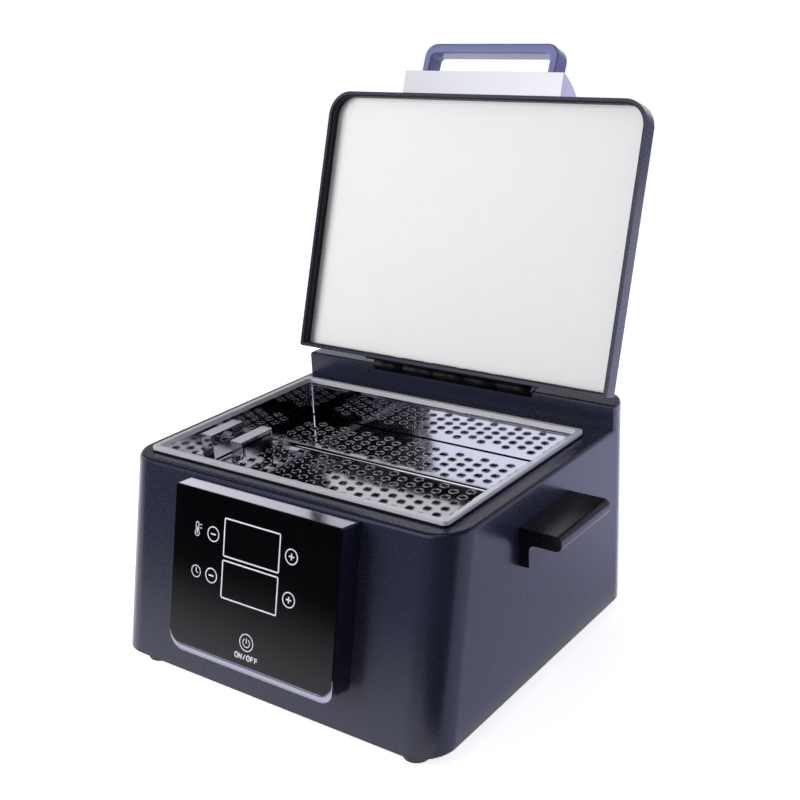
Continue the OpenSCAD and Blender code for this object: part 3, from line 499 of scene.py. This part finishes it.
def round_box(u, v, w, h, r, steps=6, r_high=None):
    """Rounded rectangle: a quarter circle, centre + r (cos t, sin t), at each corner.

    r_high is the radius of the two corners at the higher v, where it differs.
    """
    t = np.linspace(0, np.pi / 2, steps)
    ring = []
    for k, (side, end) in enumerate(((1, 1), (-1, 1), (-1, -1), (1, -1))):
        rk = r_high if end > 0 and r_high else r
        turn = t + k * np.pi / 2
        ring.append(np.stack([u + side * (w / 2 - rk) + rk * np.cos(turn),
                              v + end * (h / 2 - rk) + rk * np.sin(turn)], -1))
    return np.concatenate(ring)


def circle(u, v, r, a0=0.0, a1=360.0, count=40, closed=True):
    """Points at centre + r (cos t, sin t), for t from a0 to a1 in degrees."""
    t = np.radians(np.linspace(a0, a1, count, endpoint=not closed))
    return np.stack([u + r * np.cos(t), v + r * np.sin(t)], -1)


def ink(name, parts):
    """Joins bands into one printed piece, says how many, and hands it to the base."""
    points, faces, base = [], [], 0
    for p, f in parts:
        points.append(p)
        faces.append(f + base)
        base += len(p)
    make_piece(name, np.concatenate(points), np.concatenate(faces), print_white, "base")
    print(name, "bands:", len(parts))


# %% [markdown]
# Each display has a frame of one line. The keys beside it are rings with a minus on
# the left and a plus on the right, and the switch below is the usual ring with an
# upright stroke in a broken one, over the words ON and OFF drawn as pen strokes.

# %% Frames and keys
FRAME_LINE, FRAME_R = 0.9, 0.8
frames = [band(round_box(-1.0, -27.45, 40.8, 21.9, FRAME_R), FRAME_LINE, True),
          band(round_box(-1.1, -51.9, 41.0, 21.8, FRAME_R), FRAME_LINE, True)]
ink("display_frames", frames)

KEY_R, KEY_LINE, SIGN_HALF, SIGN_LINE = 4.2, 0.7, 1.9, 0.85
keys = []
for u, v, plus in ((-29.9, -27.8, False), (-29.9, -52.2, False),
                   (27.9, -27.2, True), (27.8, -51.6, True)):
    keys.append(band(circle(u, v, KEY_R), KEY_LINE, True))
    keys.append(band([(u - SIGN_HALF, v), (u, v), (u + SIGN_HALF, v)], SIGN_LINE, False))
    if plus:
        keys.append(band([(u, v - SIGN_HALF), (u, v), (u, v + SIGN_HALF)], SIGN_LINE, False))
ink("temperature_and_time_keys", keys)

u, v = -0.6, -84.2
power = [band(circle(u, v, 4.9), 0.65, True),
         band(circle(u, v - 0.2, 2.5, 125, 415, 30, closed=False), 0.55, False),
         band([(u, v - 0.4), (u, v + 1.2), (u, v + 2.6)], 0.6, False)]
ink("power_key", power)

# %% [markdown]
# ON and OFF are the plain words of any switch. Each letter is a few pen strokes in a
# box HALF wide to each side and TALL high, and the next one starts a step further on.

# %% Words of the switch
u, v = -7.5, -92.9
HALF, TALL, PEN, LETTER_STEP = 0.95, 3.1, 0.72, 2.95


def stroke(*corners):
    """One straight-sided pen stroke through corners, in millimetres beside (u, v)."""
    dense = []
    for (x0, y0), (x1, y1) in zip(corners, corners[1:]):
        dense += [(u + x0 + (x1 - x0) * t, v + y0 + (y1 - y0) * t)
                  for t in (0.0, 0.34, 0.67, 0.98)]
    return band(dense, PEN, False)


switch = []
for shape in "ON/OFF":
    if shape == "O":
        oval = circle(0, 0, 1, count=24) * [1.05, TALL / 2] + [u, v]
        switch.append(band(oval, PEN, True))
    elif shape == "N":
        switch += [stroke((-HALF, -TALL / 2), (-HALF, TALL / 2)),
                   stroke((-HALF, TALL / 2), (HALF, -TALL / 2)),
                   stroke((HALF, -TALL / 2), (HALF, TALL / 2))]
    elif shape == "F":
        switch += [stroke((-HALF, -TALL / 2), (-HALF, TALL / 2)),
                   stroke((-HALF, TALL / 2 - 0.25), (HALF, TALL / 2 - 0.25)),
                   stroke((-HALF, 0), (HALF * 0.7, 0))]
    else:
        switch.append(stroke((-0.7, -TALL / 2), (0.7, TALL / 2)))
    u += LETTER_STEP
ink("on_off_mark", switch)

# %% [markdown]
# The small pictures stand where a user looks for what each row sets: a thermometer
# with its bulb and two ticks, and a clock face with its two hands.

# %% Row pictures
u, v = -42.4, -27.4
stem = np.concatenate([circle(u, v - 2.3, 1.7, 125, 415, 24, closed=False),
                       circle(u, v + 3.2, 1.0, 0, 180, 10, closed=False)])
PICTURE_LINE = 0.55
thermometer = [band(stem, 0.5, True), band([(u, v - 2.9), (u, v), (u, v + 1.2)], 0.7, False)]
for tick in (3.0, 1.0):
    thermometer.append(band([(u + away, v + tick) for away in (2.0, 2.8, 3.6)],
                            PICTURE_LINE, False))
ink("thermometer_picture", thermometer)
u, v = -41.8, -52.4
clock = [band(circle(u, v, 3.4), PICTURE_LINE, True),
         band([(u, v), (u, v + 1.1), (u, v + 2.2)], PICTURE_LINE, False),
         band([(u, v), (u + 0.8, v - 0.4), (u + 1.6, v - 0.8)], PICTURE_LINE, False)]
ink("clock_picture", clock)

# %% [markdown]
# ## Bevel under the panel
# Below the acrylic panel runs a slim bevel in pearl lacquer that follows the two lower
# corners and catches the light from the bench. It is a four-sided strip carried
# along the panel's lower outline: its foot lies on the pod and its upper edge meets
# the panel's side.

# %% Panel bevel
CORNER_STEPS, BEVEL_START = 9, -88.0


def lower_outline(half_width, bottom, radius):
    """Points from the left side round both lower corners and up the right side.

    A corner's u is radius (1 - cos t) in from the side and its v radius (1 - sin t) up
    from the bottom. The right half is the left one mirrored.
    """
    t = np.linspace(0, np.pi / 2, CORNER_STEPS)
    left = np.stack([-half_width + radius * (1 - np.cos(t)),
                     bottom + radius * (1 - np.sin(t))], -1)
    path = np.concatenate([[[-half_width, BEVEL_START]], left])
    return np.concatenate([path, path[::-1] * [-1, 1]])


def bevel_row(half_width, bottom, radius, side_lift, lift):
    """One long edge of the bevel; its lift goes from side_lift to lift as sin t."""
    ease = np.concatenate([[0], np.sin(np.linspace(0, np.pi / 2, CORNER_STEPS))])
    ease = np.concatenate([ease, ease[::-1]])
    path = lower_outline(half_width, bottom, radius)
    return on_panel(*path.T, side_lift + (lift - side_lift) * ease)


# half width, lowest v, corner radius, lift at the sides and lift below, in millimetres
BEVEL_EDGES = {"at the panel": (60.75, -98.45, 8.5, 14.7, 14.7),
               "outer": (60.95, -103.8, 9.2, 14.5, 12.6),
               "on the pod": (60.88, -103.4, 9.5, 13.9, 9.1),
               "under the panel": (60.2, -97.9, 8.5, 13.8, 13.4)}
bevel_rows = [bevel_row(*edge) for edge in BEVEL_EDGES.values()]
along = len(bevel_rows[0])
bevel_points = np.stack(bevel_rows, axis=1).reshape(-1, 3)
bevel_faces = grid_faces(along, 4, False, True).tolist()
bevel_faces += [[0, 1, 2, 3], [4 * along - k for k in (1, 2, 3, 4)]]
make_piece("panel_lower_bevel", bevel_points, bevel_faces, pearl_lacquer, "base")
print("bevel points:", len(bevel_points))

# %% [markdown]
# ## Seal inside the lid's skirt
# A thin black silicone band lines the skirt's inner wall and closes on the rim. The
# lid is drawn shut and then turned open about its pin, so the band is laid out
# the same way: the shell's own points are turned shut to find its outline.

# %% Lid seal
pin_low, pin_high = box_mm("hinge_pin")
PIN = (pin_low + pin_high) / 2
LID_OPEN = math.radians(107.5)


def turned(points, angle):
    """Points turned about the pin: y' = y cos a + z sin a, z' = z cos a - y sin a."""
    x, y, z = (np.asarray(points) - [0, PIN[1], PIN[2]]).T
    return np.stack([x, y * np.cos(angle) + z * np.sin(angle) + PIN[1],
                     z * np.cos(angle) - y * np.sin(angle) + PIN[2]], -1)


shell = np.empty(len(NODES["lid_shell"].data.vertices) * 3, np.float32)
NODES["lid_shell"].data.vertices.foreach_get("co", shell)
shell = turned(shell.reshape(-1, 3) / MM, -LID_OPEN)
SKIRT, SEAL_T, SKIRT_R, SEAL_DEPTH = 2.2, 0.6, 14.3, 7.1
CLEAR, LIFT, HINGE_SIDE_R, SEAL_STEPS = 0.02, 0.3, 1.0, 10
lid_low, lid_high = shell.min(0), shell.max(0)
print("shut lid, mm:", lid_low.round(1), lid_high.round(1))
middle, full = (lid_low + lid_high) / 2, lid_high - lid_low
seal_rows = []
for inset, z in ((SKIRT + CLEAR, LIFT), (SKIRT + SEAL_T, LIFT),
                 (SKIRT + SEAL_T, SEAL_DEPTH), (SKIRT + CLEAR, SEAL_DEPTH)):
    plan = round_box(middle[0], middle[1], full[0] - 2 * inset, full[1] - 2 * inset,
                     SKIRT_R - inset + SKIRT, SEAL_STEPS, r_high=HINGE_SIDE_R)
    seal_rows.append(np.column_stack([plan, np.full(len(plan), lid_low[2] + z)]))
seal_points = turned(np.stack(seal_rows, axis=1).reshape(-1, 3), LID_OPEN)
make_piece("lid_skirt_seal", seal_points, grid_faces(4 * SEAL_STEPS, 4, True, True),
           seal_rubber, "lid")

# %% [markdown]
# ## Floor, light and camera
# The oven stands on a plain white floor that runs out of sight. Light comes from
# three soft lamps: the strongest before it to the left, a weaker one behind it to the
# right and a small one overhead. Gloss doesn't see the two large ones, because their
# square outlines would lie in the polished steel. What the steel and the glossy
# plastic reflect is painted with sheets that only gloss sees, some black and some
# glowing.

# %% Floor and surroundings
def sheet(name, corners):
    """A flat four-cornered stage piece, in metres."""
    mesh = bpy.data.meshes.new(name)
    mesh.from_pydata(corners, [], [(0, 1, 2, 3)])
    made = bpy.data.objects.new(name, mesh)
    bpy.context.scene.collection.objects.link(made)
    return made


def laid(x0, y0, x1, y1, z):
    """Corners of a level rectangle between two opposite ones."""
    return [(x0, y0, z), (x1, y0, z), (x1, y1, z), (x0, y1, z)]


def hung(x0, y0, x1, y1, low, high):
    """Corners of an upright rectangle over the line from (x0, y0) to (x1, y1)."""
    return [(x0, y0, low), (x1, y1, low), (x1, y1, high), (x0, y0, high)]


HALF_FLOOR, FLOOR_GLOW, WORLD_SOFT = 6.0, 0.76, 0.33
floor = sheet("studio_floor", laid(-HALF_FLOOR, -HALF_FLOOR, HALF_FLOOR, HALF_FLOOR, 0.0))


def backdrop_rays(tree):
    """1 for the rays that should meet the white backdrop: the camera's own, and those
    that gloss and glass send on.
    """
    path = add(tree, "ShaderNodeLightPath")
    either = add(tree, "ShaderNodeMath", {"operation": "MAXIMUM"},
                 in0=path.outputs["Is Camera Ray"], in1=path.outputs["Is Glossy Ray"])
    return add(tree, "ShaderNodeMath", {"operation": "MAXIMUM"}, in0=either.outputs["Value"],
               in1=path.outputs["Is Transmission Ray"]).outputs["Value"]


floor_paint, tree, out = start("white_floor_paint")
paint = add(tree, "ShaderNodeBsdfDiffuse", Color=linear("#f2f2f4"))
glow = add(tree, "ShaderNodeEmission", Color=linear("#ffffff"), Strength=FLOOR_GLOW)
both = add(tree, "ShaderNodeAddShader", in0=paint.outputs["BSDF"],
           in1=glow.outputs["Emission"])
lit = add(tree, "ShaderNodeMixShader", Fac=backdrop_rays(tree), in1=paint.outputs["BSDF"],
          in2=both.outputs["Shader"])
tree.links.new(lit.outputs["Shader"], out.inputs["Surface"])
floor.data.materials.append(floor_paint)

world = bpy.data.worlds.new("soft_studio")
world.use_nodes = True
bpy.context.scene.world = world
tree = world.node_tree
tree.nodes.clear()
seen = add(tree, "ShaderNodeBackground", Color=linear("#ffffff"), Strength=1.0)
soft = add(tree, "ShaderNodeBackground", Color=linear("#eef0fb"), Strength=WORLD_SOFT)
sky = add(tree, "ShaderNodeMixShader", Fac=backdrop_rays(tree),
          in1=soft.outputs["Background"], in2=seen.outputs["Background"])
out = tree.nodes.new("ShaderNodeOutputWorld")
tree.links.new(sky.outputs["Shader"], out.inputs["Surface"])
print("floor, m:", 2 * HALF_FLOOR, "glow:", FLOOR_GLOW, "soft light:", WORLD_SOFT)

# %% [markdown]
# A lamp is placed by where it stands and what it faces. Its size sets how soft the
# shadows are, and its power is only as high as keeps every colour as it is written.

# %% Lamps
from mathutils import Matrix, Vector


def lamp(name, place, aim, size, power, colour="#ffffff"):
    """Square area lamp at place, facing aim, both in metres."""
    data = bpy.data.lights.new(name, "AREA")
    data.shape, data.size, data.energy = "SQUARE", size, power
    data.color = linear(colour)[:3]
    made = bpy.data.objects.new(name, data)
    bpy.context.scene.collection.objects.link(made)
    made.location = place
    made.rotation_euler = (Vector(aim) - Vector(place)).to_track_quat("-Z", "Y").to_euler()
    return made


left_lamp = lamp("left_softbox", (-1.4, -1.6, 0.85), (0, 0, 0.15), 1.3, 40.0)
right_lamp = lamp("right_softbox", (1.55, 1.05, 0.65), (0, 0, 0.1), 1.1, 11.5, "#dcdafa")
left_lamp.visible_glossy = right_lamp.visible_glossy = False
lamp("overhead_softbox", (0.3, -0.6, 1.7), (0, 0, 0.1), 0.5, 1.5)
print("lamps:", len(bpy.data.lights))

# %% [markdown]
# Reflection sheets are flat sheets that only reflections see, so they take no light
# away. They are painted reflections, each black, glowing in one tone, or glowing in a
# tone that eases along it. The dark ones hang in front, overhead, to the left and
# behind, and paint the dark reflections that keep the acrylic and the top deck black.
# The pale ones glow. The card before the oven paints the white reflection in the tray.
# The sheets to its right paint a pale lilac reflection on its side. The one on the
# floor before the panel glows pale at the oven's foot and is dark further out, and it
# paints a pale reflection along the front's foot. The flag near the camera alone also
# shades the soft light.

# %% Painted reflection sheets
DARK = (0.0, 0.0)


def reflection_sheet(name, corners, tones=DARK, start_y=-0.14, reach=1.0, colour="#dfdfe8",
          one_sided=False):
    """A sheet that only gloss sees: a painted reflection, black or glowing.

    Its tone eases from the first of tones to the second, beginning at start_y and over
    reach metres towards the camera, or away from it where reach is negative. One that
    is one_sided is clear from behind.
    """
    made = sheet(name, corners)
    made.visible_camera = made.visible_diffuse = made.visible_shadow = False
    finish, tree, out = start(name + "_tone")
    place = add(tree, "ShaderNodeTexCoord").outputs["Object"]
    along = add(tree, "ShaderNodeSeparateXYZ", Vector=place).outputs["Y"]
    tone = add(tree, "ShaderNodeMapRange", {"interpolation_type": "SMOOTHSTEP"}, Value=along,
               From_Min=start_y, From_Max=start_y - reach, To_Min=tones[0], To_Max=tones[1])
    glow = add(tree, "ShaderNodeEmission", Color=linear(colour),
               Strength=tone.outputs["Result"])
    surface = glow.outputs["Emission"]
    if one_sided:
        behind = add(tree, "ShaderNodeNewGeometry").outputs["Backfacing"]
        clear = add(tree, "ShaderNodeBsdfTransparent").outputs["BSDF"]
        surface = add(tree, "ShaderNodeMixShader", Fac=behind, in1=surface,
                      in2=clear).outputs["Shader"]
    tree.links.new(surface, out.inputs["Surface"])
    made.data.materials.append(finish)
    return made


# Each sheet paints a reflection: a tone of 0 paints a black one, a higher tone a glowing pale
# one.
reflection_sheets = [
    reflection_sheet("floor_reflection_sheet", laid(-3.0, -3.0, 0.3, -0.15, 0.002), (1.6, 0.0), reach=0.4),
    reflection_sheet("front_reflection_sheet", hung(-3.0, -1.6, 0.6, -3.0, 0.0, 0.35)),
    reflection_sheet("hanging_reflection_sheet", hung(-2.6, 0.6, -0.2, 2.6, 0.85, 3.2)),
    reflection_sheet("camera_flag", hung(0.2, -1.9, 1.9, -0.7, 0.0, 2.2)),
    reflection_sheet("ceiling_reflection_sheet", laid(4.0, -2.0, -4.0, 4.0, 2.6)),
    reflection_sheet("bright_card", hung(0.3, -1.6, -1.16, -1.6, 0.35, 1.2), (1.9, 1.9),
          one_sided=True),
    reflection_sheet("left_reflection_sheet", hung(-1.16, -1.6, -3.0, -1.0, 0.35, 1.1)),
    reflection_sheet("right_reflection_sheet", hung(0.25, 1.4, 1.8, 1.4, 0.0, 0.8), (0.8, 0.8),
          colour="#bcbce4"),
    reflection_sheet("side_reflection_sheet", laid(0.13, -0.14, 0.9, 1.2, 0.003), (1.3, 2.1), start_y=0.06,
          reach=-0.2, colour="#c0c0e2"),
    reflection_sheet("far_right_reflection_sheet", hung(2.2, -1.0, 2.2, 1.0, 0.45, 1.6)),
    reflection_sheet("corner_reflection_sheet", laid(0.16, -3.0, 2.0, -0.14, 0.003)),
]
bpy.data.objects["camera_flag"].visible_diffuse = True
print("cloths:", len(reflection_sheets))

# %% [markdown]
# The camera stands before the oven's right corner and looks down on it by about
# twenty degrees. Its three axes are written out as rows: right, up and back.

# %% Camera
data = bpy.data.cameras.new("portrait_camera")
data.sensor_width, data.lens, data.clip_end = 36.0, 55.12, 100.0
camera = bpy.data.objects.new("portrait_camera", data)
bpy.context.scene.collection.objects.link(camera)
CAMERA_PLACE = (0.43114, -0.56976, 0.40447)
CAMERA_AXES = ((0.81277, 0.58090, -0.04423),
               (-0.16105, 0.29701, 0.94120),
               (0.55988, -0.75785, 0.33496))
turn = Matrix(CAMERA_AXES).transposed().to_4x4()
camera.matrix_world = Matrix.Translation(CAMERA_PLACE) @ turn
bpy.context.scene.camera = camera
bpy.context.scene.view_settings.view_transform = "Standard"
print("camera looks down by, degrees:",
      round(math.degrees(math.asin(CAMERA_AXES[2][2]))))
